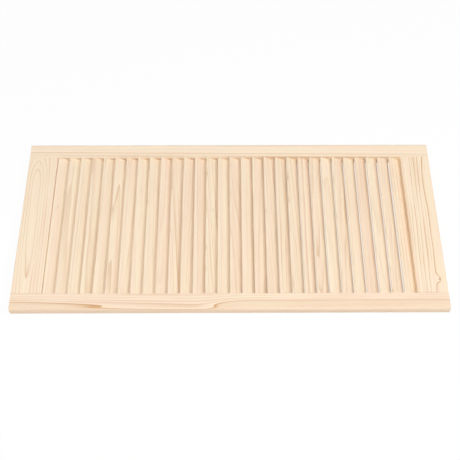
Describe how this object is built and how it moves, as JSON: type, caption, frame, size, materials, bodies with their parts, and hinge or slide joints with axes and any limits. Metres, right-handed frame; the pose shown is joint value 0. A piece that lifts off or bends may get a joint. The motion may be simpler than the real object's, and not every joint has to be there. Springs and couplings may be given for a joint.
{
  "type": "louvred cabinet door",
  "caption": "Flat pine door leaf with round-edged stiles, plain end rails and a full row of fixed tilted slats that let air through and hide what is behind.",
  "frame": {"origin": "under the middle of the door, on its back face, as it lies flat", "axes": "+X up the door from the bottom rail to the top rail, +Y towards the left stile, +Z out of the front face"},
  "size_m": [0.85, 0.394, 0.021],
  "materials": {
    "pine_frame": "planed, unfinished",
    "pine_slat": "planed, unfinished"
  },
  "bodies": {
    "root": {"left_stile": "pine_frame", "right_stile": "pine_frame", "bottom_rail": "pine_frame", "top_rail": "pine_frame", "slat_01": "pine_slat", "slat_02": "pine_slat", "slat_03": "pine_slat", "slat_04": "pine_slat", "slat_05": "pine_slat", "slat_06": "pine_slat", "slat_07": "pine_slat", "slat_08": "pine_slat", "slat_09": "pine_slat", "slat_10": "pine_slat", "slat_11": "pine_slat", "slat_12": "pine_slat", "slat_13": "pine_slat", "slat_14": "pine_slat", "slat_15": "pine_slat", "slat_16": "pine_slat", "slat_17": "pine_slat", "slat_18": "pine_slat", "slat_19": "pine_slat", "slat_20": "pine_slat", "slat_21": "pine_slat", "slat_22": "pine_slat", "slat_23": "pine_slat", "slat_24": "pine_slat", "slat_25": "pine_slat", "slat_26": "pine_slat", "slat_27": "pine_slat", "slat_28": "pine_slat", "slat_29": "pine_slat", "slat_30": "pine_slat"}
  },
  "joints": []
}
